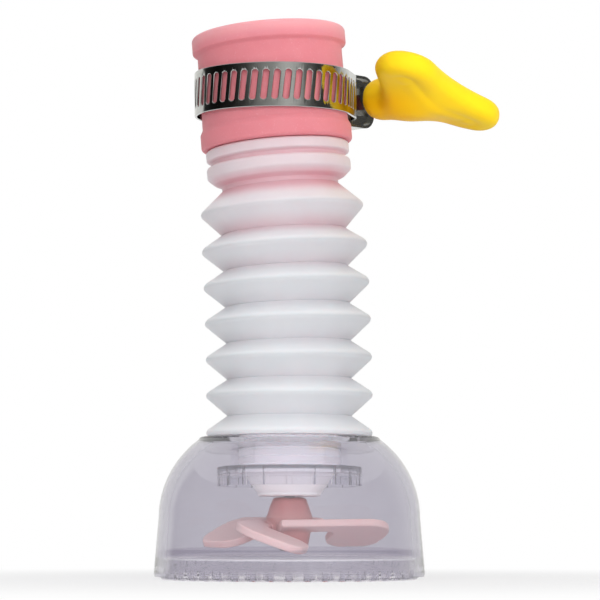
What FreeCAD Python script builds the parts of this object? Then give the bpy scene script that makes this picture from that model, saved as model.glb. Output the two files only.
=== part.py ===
import FreeCAD, Part
import math
import os
from types import SimpleNamespace

import Sketcher

# A tap extender: rubber inlet sleeve with a worm-drive clamp, bellows neck, splash dome and spinning fan.
# Millimetres and degrees. The origin is the middle of the base, +Z is up, -Y faces the viewer.
# The neck leans towards -X as it rises, along one circular arc, and the inlet sleeve goes on straight.

SIZES = {
    # Dome
    "dome_radius": 27.4,
    "dome_rim_height": 0.6,
    "dome_rim_bevel": 0.7,
    "dome_wall": 2.0,
    "dome_top_wall": 2.3,
    "dome_top_height": 28.7,
    "dome_top_edge": 0.5,
    "dome_top_margin": 1.48,
    "dome_flare": 0.95,
    "dome_curve_height": 12.4,
    # Spray plate
    "plate_socket_height": 4.3,
    "dome_rim_wall": 1.9,
    "plate_wall": 1.0,
    "plate_floor": 1.4,
    "plate_lip": 0.45,
    "plate_bevel": 0.2,
    "snap_fit": 0.05,
    "tooth_count": 44,
    "tooth_width": 1.7,
    "tooth_depth": 0.45,
    "tooth_height": 1.35,
    "hole_rings": 5,
    "hole_margin": 2.95,
    "hole_ring_count": 8,
    "hole_radius": 0.75,
    # Bellows foot and neck
    "spigot_radius": 10.5,
    "spigot_bore": 8.3,
    "spigot_length": 6.8,
    "flange_seat": 0.05,
    "flange_rise": 0.7,
    "foot_height": 3.5,
    "bellows_wall": 0.9,
    "crest_wall": 1.1,
    "crest_radius": 16.9,
    "top_crest_radius": 16.6,
    "root_radius": 12.6,
    "top_root_radius": 11.9,
    "crest_round": 0.85,
    "crest_drop": 0.5,
    "pleats": 6,
    "lower_wall_height": 4.2,
    "upper_wall_height": 3.32,
    "top_lower_wall_height": 4.5,
    "top_upper_wall_height": 4.65,
    "neck_lean": 4.6,
    # Bellows collar, heights above the top root
    "collar_neck_height": 0.9,
    "big_bead_radius": 14.75,
    "big_bead_height": 4.2,
    "groove_radius": 13.6,
    "groove_height": 0.8,
    "small_bead_radius": 14.65,
    "small_bead_height": 2.6,
    "bead_round": 0.8,
    "tube_radius": 12.6,
    "tube_length": 6.5,
    "tube_bore": 10.4,
    # Inlet sleeve
    "turn_fit": 0.05,
    "sleeve_gap": 0.05,
    "sleeve_bore": 11.25,
    "sleeve_height": 23.55,
    "ledge_gap": 0.1,
    "sleeve_bead_radius": 15.5,
    "sleeve_bead_height": 3.6,
    "sleeve_base_radius": 15.05,
    "sleeve_waist_radius": 14.95,
    "sleeve_top_radius": 14.85,
    "lip_radius": 15.8,
    "lip_height": 4.0,
    "lip_round": 0.9,
    # Clamp: a loop with a flat under the worm housing, seen along the band's width
    "clamp_height": 19.3,
    "clamp_turn": 48.0,
    "clamp_droop": -0.5,
    "clamp_dip": 1.5,
    "band_width": 9.0,
    "band_sheet": 0.5,
    "band_gap": 0.05,
    "loop_gap": 0.65,
    "lobe_radius": 7.5,
    "flat_half": 4.0,
    "slot_pitch": 2.23,
    "slot_width": 1.25,
    "slot_length": 6.05,
    "slot_lean": 7.0,
    "slot_count": 28,
    "tail_reach": 19.0,
    "saddle_sheet": 0.6,
    "saddle_lift": 0.15,
    # Worm housing
    "housing_sheet": 0.6,
    "housing_length": 13.0,
    "housing_side_gap": 0.4,
    "housing_foot_lift": 0.35,
    "housing_round": 2.4,
    "end_wall_recess": 1.4,
    # Worm screw, stations along its axis from the middle of the housing
    "worm_crest": 3.3,
    "worm_root": 2.6,
    "worm_bite": 0.3,
    "worm_top_gap": 0.1,
    "worm_neck": 2.2,
    "worm_tip": 1.5,
    "worm_collar": 2.9,
    "worm_collar_length": 0.9,
    "shaft_fit": 0.05,
    "hex_flats": 5.5,
    "hex_length": 5.2,
    # Thumb key
    "key_start": 7.8,
    "key_hub_radius": 4.5,
    "key_flare_radius": 5.2,
    "key_web_start": 15.0,
    "key_web_radius": 3.4,
    "key_half_span": 17.25,
    "key_wing_middle": 26.85,
    "key_ear_radius": 6.75,
    "key_notch_height": 5.4,
    "key_thickness": 4.3,
    "key_edge_round": 1.7,
    "key_roll": 17.5,
    # Lock ring
    "ring_neck_radius": 11.9,
    "ring_radius": 14.75,
    "ring_height": 3.8,
    "ring_skirt_wall": 1.3,
    "ring_lip": 0.8,
    "ring_drop": 3.8,
    "flute_count": 20,
    "flute_radius": 0.7,
    # Nozzle cup
    "cup_flange": 0.6,
    "cup_mouth_radius": 9.3,
    "cup_base_radius": 6.5,
    "cup_base_round": 0.7,
    "cup_height": 5.2,
    "cup_wall": 1.0,
    "cup_floor": 1.1,
    "outlet_count": 8,
    "outlet_radius": 0.7,
    "outlet_circle": 4.2,
    # Fan and axle
    "axle_radius": 1.0,
    "axle_head_radius": 2.0,
    "axle_head": 0.8,
    "axle_fit": 0.06,
    "axle_boss": 0.8,
    "fan_end_gap": 0.2,
    "fan_hub_drop": 2.55,
    "fan_hub_top_radius": 3.4,
    "fan_hub_flare_radius": 4.75,
    "fan_hub_base_radius": 3.9,
    "fan_hub_flare_drop": 4.2,
    "blade_count": 3,
    "blade_gap": 3.55,
    "blade_high_side": 7.2,
    "blade_low_side": 7.4,
    "blade_arm_side": 3.0,
    "blade_arm_length": 8.5,
    "blade_root": 3.5,
    "blade_thickness": 1.6,
    "blade_pitch": 20.0,
    "blade_height": 8.95,
    "blade_lead_round": 6.5,
    "blade_tip_round": 3.2,
    "blade_heel_round": 5.0,
    "blade_notch_round": 1.5,
    "fan_turn": -104.0,
}

Vector = FreeCAD.Vector
Rotation = FreeCAD.Rotation
Placement = FreeCAD.Placement

doc = FreeCAD.newDocument("TapExtender")


class Size:
    """A number together with the formula that binds it to the sheet."""

    def __init__(self, value, formula):
        self.value = value
        self.formula = formula

    def __add__(self, other):
        other = as_size(other)
        return Size(self.value + other.value, f"({self.formula} + {other.formula})")

    def __sub__(self, other):
        other = as_size(other)
        return Size(self.value - other.value, f"({self.formula} - {other.formula})")

    def __mul__(self, other):
        other = as_size(other)
        return Size(self.value * other.value, f"({self.formula} * {other.formula})")

    def __truediv__(self, other):
        other = as_size(other)
        return Size(self.value / other.value, f"({self.formula} / {other.formula})")

    def __radd__(self, other):
        return as_size(other) + self

    def __rsub__(self, other):
        return as_size(other) - self

    def __rmul__(self, other):
        return as_size(other) * self

    def __neg__(self):
        return Size(-self.value, f"(0 - {self.formula})")


def as_size(number):
    return number if isinstance(number, Size) else Size(float(number), repr(float(number)))


def root(size):
    return Size(math.sqrt(size.value), f"sqrt({size.formula})")


def leg(hypotenuse, other_leg):
    """The third side of a right-angled triangle."""
    return root(hypotenuse * hypotenuse - other_leg * other_leg)


def fill_sheet():
    """Write every driving size into the sheet, one row each, and hand the sizes back as bound numbers."""
    sheet = doc.addObject("Spreadsheet::Sheet", "Sizes")
    for row, (name, number) in enumerate(SIZES.items(), start=1):
        sheet.set(f"A{row}", name.replace("_", " "))
        sheet.set(f"B{row}", str(number))
        sheet.setAlias(f"B{row}", name)
    doc.recompute()
    return SimpleNamespace(**{name: Size(float(sheet.get(name)), f"Sizes.{name}") for name in SIZES})


s = fill_sheet()


# Sketches and features

def bind(thing, setting, size):
    """Set a number and tie it to the sheet."""
    size = as_size(size)
    setattr(thing, setting, size.value)
    thing.setExpression(setting, size.formula)


def new_body(name):
    body = doc.addObject("PartDesign::Body", name)
    body.Label = name
    return body


def origin_feature(body, role):
    return next(item for item in body.Origin.OriginFeatures if item.Role == role)


def new_sketch(body, plane, name, lift=0.0, turn=None):
    """A sketch on one of the body's own planes, lifted along the plane's normal and turned in place."""
    sketch = body.newObject("Sketcher::SketchObject", name)
    sketch.AttachmentSupport = [(origin_feature(body, plane), "")]
    sketch.MapMode = "FlatFace"
    lift = as_size(lift)
    sketch.AttachmentOffset = Placement(Vector(0, 0, lift.value), turn or Rotation())
    sketch.setExpression("AttachmentOffset.Base.z", lift.formula)
    return sketch


def fix(sketch, kind, *place, size):
    """One dimension of a sketch, tied to the sheet where the sheet drives it."""
    size = as_size(size)
    index = sketch.addConstraint(Sketcher.Constraint(kind, *place, size.value))
    if "Sizes." in size.formula:
        sketch.setExpression(f"Constraints[{index}]", size.formula)


def fix_point(sketch, geometry, end, x, y):
    fix(sketch, "DistanceX", -1, 1, geometry, end, size=x)
    fix(sketch, "DistanceY", -1, 1, geometry, end, size=y)


def draw_arc(sketch, start, end, radius, side):
    """An arc from start to end, with its centre on the left of that way for side 1, on the right for -1."""
    along = end - start
    half = along.Length / 2
    left = Vector(-along.y, along.x, 0).normalize()
    height = math.sqrt(max(radius * radius - half * half, 0))
    centre = (start + end) / 2 + left * (side * height)
    first, last = (start, end) if side > 0 else (end, start)
    angles = [math.atan2(point.y - centre.y, point.x - centre.x) for point in (first, last)]
    circle = Part.Circle(centre, Vector(0, 0, 1), radius)
    return sketch.addGeometry(Part.ArcOfCircle(circle, *angles), False)


def draw_outline(sketch, corners):
    """A closed outline through corners (x, y). A corner (x, y, radius, side) starts an arc."""
    placed = [Vector(as_size(corner[0]).value, as_size(corner[1]).value, 0) for corner in corners]
    ends = []
    for corner, start, end in zip(corners, placed, placed[1:] + placed[:1]):
        if len(corner) == 2:
            edge = sketch.addGeometry(Part.LineSegment(start, end), False)
            ends.append((edge, 1, 2))
        else:
            radius, side = as_size(corner[2]), corner[3]
            edge = draw_arc(sketch, start, end, radius.value, side)
            ends.append((edge, 1, 2) if side > 0 else (edge, 2, 1))
            fix(sketch, "Radius", edge, size=radius)
        fix_point(sketch, edge, ends[-1][1], corner[0], corner[1])
    for (edge, _, last), (follower, first, _) in zip(ends, ends[1:] + ends[:1]):
        sketch.addConstraint(Sketcher.Constraint("Coincident", edge, last, follower, first))


def draw_circle(sketch, x, y, radius):
    centre = Vector(as_size(x).value, as_size(y).value, 0)
    circle = sketch.addGeometry(Part.Circle(centre, Vector(0, 0, 1), as_size(radius).value), False)
    fix_point(sketch, circle, 3, x, y)
    fix(sketch, "Radius", circle, size=radius)


def revolve(body, name, corners):
    """Turn an outline of (radius, height) corners about the body's Z axis."""
    sketch = new_sketch(body, "XZ_Plane", f"{name}_profile")
    draw_outline(sketch, corners)
    turned = body.newObject("PartDesign::Revolution", name)
    turned.Profile = sketch
    turned.ReferenceAxis = (sketch, ["V_Axis"])
    turned.Angle = 360
    return turned


def pad(body, name, sketch, length, symmetric=False):
    padded = body.newObject("PartDesign::Pad", name)
    padded.Profile = sketch
    bind(padded, "Length", length)
    if symmetric:
        padded.SideType = "Symmetric"
    return padded


def pocket(body, name, sketch, length=None):
    """Cut against the sketch's normal by a length, or right through both ways."""
    cut = body.newObject("PartDesign::Pocket", name)
    cut.Profile = sketch
    if length is None:
        cut.Type = "ThroughAll"
        cut.SideType = "Symmetric"
    else:
        bind(cut, "Length", length)
    return cut


def set_count(pattern, count):
    count = as_size(count)
    pattern.Occurrences = int(round(count.value))
    pattern.setExpression("Occurrences", count.formula)


def repeat_round(body, name, feature, count, angle=None):
    """Repeat a feature about the body's Z axis, over a full turn or over a given spread."""
    pattern = body.newObject("PartDesign::PolarPattern", name)
    pattern.Originals = [feature]
    pattern.Axis = (origin_feature(body, "Z_Axis"), [""])
    pattern.Angle = 360
    if angle is not None:
        bind(pattern, "Angle", angle)
    set_count(pattern, count)
    body.Tip = pattern
    return pattern


def repeat_along(body, name, feature, axis, length, count):
    pattern = body.newObject("PartDesign::LinearPattern", name)
    pattern.Originals = [feature]
    pattern.Direction = (origin_feature(body, axis), [""])
    bind(pattern, "Length", length)
    set_count(pattern, count)
    body.Tip = pattern
    return pattern


def round_edges(body, name, radius, wanted):
    """Round the edges of the body's last feature that wanted picks."""
    doc.recompute()
    last = body.Tip
    names = [f"Edge{k}" for k, edge in enumerate(last.Shape.Edges, start=1) if wanted(edge)]
    rounded = body.newObject("PartDesign::Fillet", name)
    rounded.Base = (last, names)
    bind(rounded, "Radius", radius)
    return rounded


# Heights that pieces share

flange_height = s.dome_top_height + s.flange_seat
foot_root_height = flange_height + s.flange_rise + s.foot_height
dome_inside_height = s.dome_top_height - s.dome_top_wall
spigot_end = flange_height - s.spigot_length
ring_top = dome_inside_height - s.ring_drop
cup_seat = spigot_end - s.cup_flange
cup_base = cup_seat - s.cup_height + s.cup_flange
fan_top = cup_base - s.fan_end_gap
fan_base = s.blade_height - s.fan_hub_drop
dome_waist_radius = s.dome_radius - s.dome_flare
plate_socket_radius = s.dome_radius - s.dome_rim_wall
plate_wall_radius = plate_socket_radius - s.snap_fit
plate_inside_radius = plate_wall_radius - s.plate_wall
blade_reach = dome_waist_radius - s.dome_wall - s.blade_gap


# Head

def build_dome():
    """Clear bell: steep wall, round shoulder, flat top with the spigot hole, rebate for the spray plate."""
    body = new_body("dome")
    edge_height = s.dome_top_height - s.dome_top_edge
    edge_radius = s.crest_radius + s.dome_top_margin
    drop = edge_height - s.dome_curve_height
    narrowing = dome_waist_radius - edge_radius
    outer_curve = (narrowing * narrowing + drop * drop) / (narrowing * 2)
    inner_curve = outer_curve - s.dome_wall
    inside_drop = dome_inside_height - s.dome_curve_height
    inside_radius = dome_waist_radius - outer_curve + leg(inner_curve, inside_drop)
    rim_inside = plate_socket_radius - s.dome_wall * 0.25
    revolve(body, "dome_shell", [
        (plate_socket_radius, s.dome_rim_height),
        (s.dome_radius - s.dome_rim_bevel * 0.25, s.dome_rim_height),
        (s.dome_radius, s.dome_rim_height + s.dome_rim_bevel),
        (dome_waist_radius, s.dome_curve_height, outer_curve, 1),
        (edge_radius, edge_height, s.dome_top_edge * 1.4, 1),
        (edge_radius - s.dome_top_edge, s.dome_top_height),
        (s.spigot_radius + s.turn_fit * 2, s.dome_top_height),
        (s.spigot_radius + s.turn_fit * 2, dome_inside_height),
        (inside_radius, dome_inside_height, inner_curve, -1),
        (dome_waist_radius - s.dome_wall, s.dome_curve_height),
        (rim_inside, s.plate_socket_height),
        (plate_socket_radius, s.plate_socket_height),
    ])
    return body


def build_spray_plate():
    """Clear bottom plate: rings of spray holes, a snap wall that fits the dome, teeth round its foot."""
    body = new_body("spray_plate")
    lip_radius = plate_wall_radius + s.plate_lip
    lip_top = s.dome_rim_height - s.snap_fit
    wall_top = s.plate_socket_height - s.snap_fit
    revolve(body, "plate_disc", [
        (0, 0),
        (lip_radius - s.plate_bevel, 0),
        (lip_radius, s.plate_bevel),
        (lip_radius, lip_top),
        (plate_wall_radius, lip_top),
        (plate_wall_radius, wall_top),
        (plate_inside_radius, wall_top),
        (plate_inside_radius, s.plate_floor),
        (0, s.plate_floor),
    ])
    for ring in range(1, int(s.hole_rings.value) + 1):
        sketch = new_sketch(body, "XY_Plane", f"hole_{ring}_place")
        draw_circle(sketch, (plate_inside_radius - s.hole_margin) / s.hole_rings * ring, 0, s.hole_radius)
        hole = pocket(body, f"hole_{ring}", sketch)
        repeat_round(body, f"hole_ring_{ring}", hole, s.hole_ring_count * ring)
    sketch = new_sketch(body, "XY_Plane", "tooth_place", lift=lip_top + s.tooth_height)
    draw_outline(sketch, [
        (plate_wall_radius - s.tooth_depth, -s.tooth_width / 2),
        (lip_radius, -s.tooth_width / 2),
        (lip_radius, s.tooth_width / 2),
        (plate_wall_radius - s.tooth_depth, s.tooth_width / 2),
    ])
    tooth = pocket(body, "tooth_gap", sketch, s.tooth_height)
    repeat_round(body, "tooth_gaps", tooth, s.tooth_count)
    return body


def build_bellows_foot():
    """Bottom half pleat of the bellows, with the flange on the dome and the spigot through it."""
    body = new_body("bellows_foot")
    crest_height = flange_height + s.flange_rise
    floor = flange_height + s.bellows_wall
    revolve(body, "foot", [
        (s.spigot_bore, spigot_end),
        (s.spigot_radius, spigot_end),
        (s.spigot_radius, flange_height),
        (s.crest_radius - s.flange_rise, flange_height, s.flange_rise, 1),
        (s.crest_radius, crest_height),
        (s.crest_radius - s.crest_drop, crest_height + s.crest_round),
        (s.root_radius, foot_root_height),
        (s.root_radius - s.bellows_wall, foot_root_height),
        (s.crest_radius - s.crest_wall * 1.6, floor + s.bellows_wall * 0.4),
        (s.crest_radius - s.crest_wall * 2.2, floor),
        (s.spigot_bore, floor),
    ])
    return body


def build_lock_ring():
    """Clear ring nut: a neck on the spigot, a lip under the cup and a fluted skirt."""
    body = new_body("lock_ring")
    skirt_base = ring_top - s.ring_height
    lip_base = cup_seat - s.ring_lip
    bore = s.spigot_radius + s.shaft_fit
    revolve(body, "ring", [
        (bore, cup_seat),
        (bore, dome_inside_height),
        (s.ring_neck_radius, dome_inside_height),
        (s.ring_neck_radius, ring_top),
        (s.ring_radius, ring_top),
        (s.ring_radius, skirt_base),
        (s.ring_radius - s.ring_skirt_wall, skirt_base),
        (s.ring_radius - s.ring_skirt_wall, lip_base),
        (s.cup_mouth_radius + s.snap_fit * 3, lip_base),
        (s.cup_mouth_radius + s.snap_fit * 3, cup_seat),
    ])
    sketch = new_sketch(body, "XY_Plane", "flute_place", lift=ring_top)
    draw_circle(sketch, s.ring_radius + s.flute_radius * 0.5, 0, s.flute_radius)
    flute = pocket(body, "flute", sketch, s.ring_height)
    repeat_round(body, "flutes", flute, s.flute_count)
    return body


def build_nozzle_cup():
    """White cup with a flange, a tapering wall and a ring of water outlets round the axle boss."""
    body = new_body("nozzle_cup")
    floor = cup_base + s.cup_floor
    hole = s.axle_radius + s.snap_fit * 0.2
    revolve(body, "cup", [
        (hole, cup_base),
        (s.cup_base_radius - s.cup_base_round, cup_base, s.cup_base_round, 1),
        (s.cup_base_radius, cup_base + s.cup_base_round),
        (s.cup_mouth_radius, cup_seat),
        (s.spigot_radius - s.shaft_fit, cup_seat),
        (s.spigot_radius - s.shaft_fit, spigot_end),
        (s.cup_mouth_radius - s.cup_wall, spigot_end),
        (s.cup_base_radius - s.cup_wall, floor),
        (s.axle_head_radius, floor),
        (s.axle_head_radius, floor + s.axle_boss),
        (hole, floor + s.axle_boss),
    ])
    sketch = new_sketch(body, "XY_Plane", "outlet_place", lift=floor)
    draw_circle(sketch, s.outlet_circle, 0, s.outlet_radius)
    outlet = pocket(body, "outlet", sketch, s.cup_floor)
    repeat_round(body, "outlets", outlet, s.outlet_count)
    return body


def build_fan_axle():
    """Steel pin, pressed into the cup's boss, with the head that carries the fan."""
    body = new_body("fan_axle")
    head_top = fan_base - s.fan_end_gap
    head_base = head_top - s.axle_head
    top = cup_base + s.cup_floor + s.axle_boss
    revolve(body, "pin", [
        (0, head_base),
        (s.axle_head_radius - s.axle_head / 2, head_base, s.axle_head / 2, 1),
        (s.axle_head_radius, head_base + s.axle_head / 2),
        (s.axle_head_radius, head_top),
        (s.axle_radius, head_top),
        (s.axle_radius, top),
        (0, top),
    ])
    return body


def build_fan():
    """Pink fan: flared hub and paddle blades, each on an arm beside the hub along the blade's high edge."""
    body = new_body("fan")
    bore = s.axle_radius + s.axle_fit
    flare = fan_top - s.fan_hub_flare_drop
    revolve(body, "hub", [
        (bore, fan_base),
        (s.fan_hub_base_radius - 0.5, fan_base, 0.5, 1),
        (s.fan_hub_base_radius, fan_base + 0.5),
        (s.fan_hub_flare_radius, flare),
        (s.fan_hub_top_radius, fan_top - 0.4),
        (s.fan_hub_top_radius - 0.4, fan_top),
        (bore, fan_top),
    ])
    pitch_turn = Rotation(Vector(1, 0, 0), -s.blade_pitch.value)
    sketch = new_sketch(body, "XY_Plane", "blade_place", lift=s.blade_height, turn=pitch_turn)
    lead = s.blade_lead_round
    tip = s.blade_tip_round
    lead_grown = blade_reach / (blade_reach - lead)
    tip_grown = blade_reach / (blade_reach - tip)
    high = s.blade_high_side - lead
    low = s.blade_low_side - tip
    high_centre = leg(blade_reach - lead, high)
    low_centre = leg(blade_reach - tip, low)
    notch = s.blade_notch_round
    draw_outline(sketch, [
        (-s.blade_root, -s.blade_high_side),
        (high_centre, -s.blade_high_side, lead, 1),
        (high_centre * lead_grown, -high * lead_grown, blade_reach, 1),
        (low_centre * tip_grown, low * tip_grown, tip, 1),
        (low_centre, s.blade_low_side),
        (s.blade_arm_length + s.blade_heel_round, s.blade_low_side, s.blade_heel_round, 1),
        (s.blade_arm_length, s.blade_low_side - s.blade_heel_round),
        (s.blade_arm_length, notch - s.blade_arm_side, notch, -1),
        (s.blade_arm_length - notch, -s.blade_arm_side),
        (-s.blade_root, -s.blade_arm_side),
    ])
    blade = pad(body, "blade", sketch, s.blade_thickness, symmetric=True)
    repeat_round(body, "blades", blade, s.blade_count)
    body.Placement = Placement(Vector(), Rotation(Vector(0, 0, 1), s.fan_turn.value))
    return body


# Neck

def wall_heights():
    """Heights of the pleats' walls from the foot up: lower and upper wall of each pleat."""
    plain = [s.lower_wall_height.value, s.upper_wall_height.value] * (int(s.pleats.value) - 1)
    return plain + [s.top_lower_wall_height.value, s.top_upper_wall_height.value]


def neck_place(run):
    """The place on the neck's arc at a run from the foot's root, with Z along the arc."""
    whole = sum(wall_heights())
    arc_radius = whole / math.radians(s.neck_lean.value)
    angle = run / arc_radius
    across = -arc_radius * (1 - math.cos(angle))
    up = foot_root_height.value + arc_radius * math.sin(angle)
    return Placement(Vector(across, 0, up), Rotation(Vector(0, 1, 0), -math.degrees(angle)))


def ring_at(name, run, radius):
    """A circle across the neck."""
    ring = doc.addObject("Part::Circle", name)
    bind(ring, "Radius", radius)
    ring.Placement = neck_place(run)
    return ring


def ruled(name, rings):
    loft = doc.addObject("Part::Loft", name)
    loft.Sections = rings
    loft.Solid = True
    loft.Ruled = True
    return loft


def build_wall(name, start, height, root_radius, crest_radius, rising):
    """One conical wall between a sharp root and a rounded crest, four rings outside and two inside."""
    soft = s.crest_round.value
    bends = [(soft * 0.35, crest_radius - s.crest_drop * 0.2), (soft, crest_radius - s.crest_drop)]
    stations = [(0, crest_radius), *bends, (height, root_radius)]
    if rising:
        stations = [(height - run, radius) for run, radius in reversed(stations)]
    outside = [ring_at(f"{name}_ring_{k}", start + run, r) for k, (run, r) in enumerate(stations)]
    bores = [root_radius - s.bellows_wall, crest_radius - s.crest_wall]
    if not rising:
        bores.reverse()
    inside = [ring_at(f"{name}_bore_{k}", start + height * k, bore) for k, bore in enumerate(bores)]
    wall = doc.addObject("Part::Cut", name)
    wall.Label = name
    wall.Base = ruled(f"{name}_outside", outside)
    wall.Tool = ruled(f"{name}_inside", inside)
    return wall


def build_pleats():
    """The walls of all pleats, from the foot up. Pleats are numbered from the top."""
    walls = []
    run = 0
    count = int(s.pleats.value)
    for index, height in enumerate(wall_heights()):
        pleat = count - index // 2
        rising = index % 2 == 0
        crest = s.top_crest_radius if pleat == 1 else s.crest_radius
        root_radius = s.top_root_radius if pleat == 1 and not rising else s.root_radius
        part = "lower" if rising else "upper"
        walls.append(build_wall(f"pleat_{pleat}_{part}", run, height, root_radius, crest, rising))
        run += height
    return walls


inlet_place = neck_place(sum(wall_heights()))
big_bead_base = s.collar_neck_height
big_bead_top = big_bead_base + s.big_bead_height
small_bead_base = big_bead_top + s.groove_height
small_bead_top = small_bead_base + s.small_bead_height
tube_top = small_bead_top + s.tube_length
sleeve_base = small_bead_top + s.sleeve_gap
sleeve_top = sleeve_base + s.sleeve_height


def build_bellows_collar():
    """Top of the bellows: neck, big bead, groove, small bead and the tube inside the sleeve."""
    body = new_body("bellows_collar")
    edge = s.bead_round
    revolve(body, "collar", [
        (s.top_root_radius - s.bellows_wall, 0),
        (s.top_root_radius, 0),
        (s.top_root_radius, big_bead_base),
        (s.big_bead_radius - edge * 1.6, big_bead_base + edge * 0.9),
        (s.big_bead_radius, big_bead_base + edge * 2.2),
        (s.big_bead_radius, big_bead_top - edge, edge, 1),
        (s.big_bead_radius - edge, big_bead_top),
        (s.groove_radius, big_bead_top),
        (s.groove_radius, small_bead_base),
        (s.small_bead_radius, small_bead_base + edge * 0.6),
        (s.small_bead_radius, small_bead_top - edge, edge, 1),
        (s.small_bead_radius - edge, small_bead_top),
        (s.tube_radius, small_bead_top),
        (s.tube_radius, tube_top),
        (s.tube_bore, tube_top),
        (s.tube_bore, big_bead_base + edge),
    ])
    body.Placement = inlet_place
    return body


# Inlet

def build_inlet_sleeve():
    """Pink rubber sleeve: bead over the collar, slightly waisted body, round lip, bore with a ledge."""
    body = new_body("inlet_sleeve")
    bead = s.bead_round
    edge = s.lip_round
    socket = s.tube_radius + s.turn_fit
    waist_height = s.clamp_height - s.band_width / 2
    lip_base = sleeve_top - s.lip_height
    ledge = tube_top + s.ledge_gap
    revolve(body, "sleeve", [
        (socket, sleeve_base),
        (s.sleeve_bead_radius - bead, sleeve_base, bead, 1),
        (s.sleeve_bead_radius, sleeve_base + bead),
        (s.sleeve_bead_radius, sleeve_base + s.sleeve_bead_height - bead, bead, 1),
        (s.sleeve_base_radius, sleeve_base + s.sleeve_bead_height),
        (s.sleeve_waist_radius, waist_height),
        (s.sleeve_top_radius, lip_base),
        (s.lip_radius, lip_base + edge),
        (s.lip_radius, sleeve_top - edge, edge, 1),
        (s.lip_radius - edge, sleeve_top),
        (s.sleeve_bore + edge / 2, sleeve_top),
        (s.sleeve_bore, sleeve_top - edge / 2),
        (s.sleeve_bore, ledge),
        (socket, ledge),
    ])
    body.Placement = inlet_place
    return body


# Clamp. Its own frame has the housing on +X, the key towards -Y and the band's width along Z.

clamp_place = Placement(
    inlet_place.multVec(Vector(0, 0, s.clamp_height.value)),
    Rotation(Vector(1, 0, 0), s.clamp_dip.value)
    * Rotation(Vector(0, 1, 0), s.clamp_droop.value)
    * Rotation(Vector(0, 0, 1), s.clamp_turn.value),
)
loop_radius = s.sleeve_waist_radius + s.loop_gap
saddle_face = loop_radius + s.saddle_lift
fixed_face = saddle_face + s.saddle_sheet
free_face = fixed_face + s.band_sheet + s.band_gap
free_back = free_face + s.band_sheet
worm_reach = free_back + s.worm_crest - s.worm_bite
housing_inside = worm_reach + s.worm_crest + s.worm_top_gap
housing_half = s.band_width / 2 + s.housing_side_gap
near_wall = s.housing_length / 2 - s.end_wall_recess


def loop_path(offset):
    """Half the band's outline: from the end fixed under the housing, round the sleeve, to the front flat."""
    radius = s.lobe_radius.value
    flat = s.flat_half.value
    bend = s.lobe_radius + offset
    circle = loop_radius + offset
    turns = []
    for face, side in ((fixed_face, 1), (free_face, -1)):
        centre = Vector(face.value - radius, side * flat, 0)
        lean = math.atan2(flat, centre.x) + math.acos((loop_radius.value - radius) / centre.Length)
        normal = Vector(math.cos(lean), side * math.sin(lean), 0)
        turns.append((normal * circle.value, centre + normal * bend.value))
    (back_circle, back_bend), (front_circle, front_bend) = turns
    return [
        (fixed_face + offset, -s.flat_half * 0.6),
        (fixed_face + offset, s.flat_half, bend, 1),
        (back_bend.x, back_bend.y),
        (back_circle.x, back_circle.y, circle, 1),
        (-circle, 0, circle, 1),
        (front_circle.x, front_circle.y),
        (front_bend.x, front_bend.y, bend, 1),
        (free_face + offset, -s.flat_half),
    ]


def backwards(path):
    """The same open path walked the other way."""
    walked = []
    for corner, before in zip(path[::-1], path[-2::-1] + [()]):
        arc = (before[2], -before[3]) if len(before) > 2 else ()
        walked.append((*corner[:2], *arc))
    return walked


def draw_slot(sketch, middle, lean_way):
    """A leaning slot with round ends across the band, at a place along the sketch's X."""
    half = s.slot_length.value / 2 - s.slot_width.value * 0.32
    lean = math.radians(s.slot_lean.value) * lean_way
    up = Vector(math.sin(lean), math.cos(lean), 0) * half
    across = Vector(math.cos(lean), -math.sin(lean), 0) * (s.slot_width.value / 2)
    start = Vector(middle, 0, 0)
    end_radius = s.slot_width * 0.55
    corners = [start - up - across, start - up + across, start + up + across, start + up - across]
    draw_outline(sketch, [
        (corners[0].x, corners[0].y, end_radius, 1),
        (corners[1].x, corners[1].y),
        (corners[2].x, corners[2].y, end_radius, 1),
        (corners[3].x, corners[3].y),
    ])


def build_clamp_band():
    """The steel loop round the sleeve, slotted from the back to the housing's mouth."""
    body = new_body("clamp_band")
    sketch = new_sketch(body, "XY_Plane", "loop_outline", lift=-s.band_width / 2)
    draw_outline(sketch, loop_path(0) + backwards(loop_path(s.band_sheet)))
    pad(body, "loop", sketch, s.band_width)
    step = s.slot_pitch / (loop_radius + s.band_sheet / 2) * math.degrees(1)
    spread = step * (s.slot_count - 1)
    last = -math.degrees(math.atan2((s.housing_length + s.slot_width).value / 2, free_back.value))
    turn = Rotation(Vector(0, 1, 0), last - spread.value + 180)
    sketch = new_sketch(body, "YZ_Plane", "slot_place", turn=turn)
    draw_slot(sketch, 0, -1)
    slot = pocket(body, "slot", sketch, loop_radius * 1.3)
    repeat_round(body, "slots", slot, s.slot_count, spread)
    body.Placement = clamp_place
    return body


def build_band_tail():
    """Free end of the band: straight through the housing and out behind, slotted where the worm bites."""
    body = new_body("band_tail")
    half = s.band_width / 2
    clip = s.band_width / 5
    start = s.band_gap - s.flat_half
    sketch = new_sketch(body, "YZ_Plane", "tail_outline", lift=free_face)
    draw_outline(sketch, [
        (start, -half),
        (s.tail_reach - clip, -half),
        (s.tail_reach, clip - half),
        (s.tail_reach, half - clip),
        (s.tail_reach - clip, half),
        (start, half),
    ])
    pad(body, "tail", sketch, s.band_sheet)
    sketch = new_sketch(body, "YZ_Plane", "tail_slot_place", lift=free_back + s.band_gap)
    draw_slot(sketch, start.value + s.slot_pitch.value / 2, 1)
    slot = pocket(body, "tail_slot", sketch, s.band_sheet * 2)
    count = int((s.tail_reach - start).value / s.slot_pitch.value) - 2
    repeat_along(body, "tail_slots", slot, "Y_Axis", s.slot_pitch * (count - 1), count)
    body.Placement = clamp_place
    return body


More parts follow.
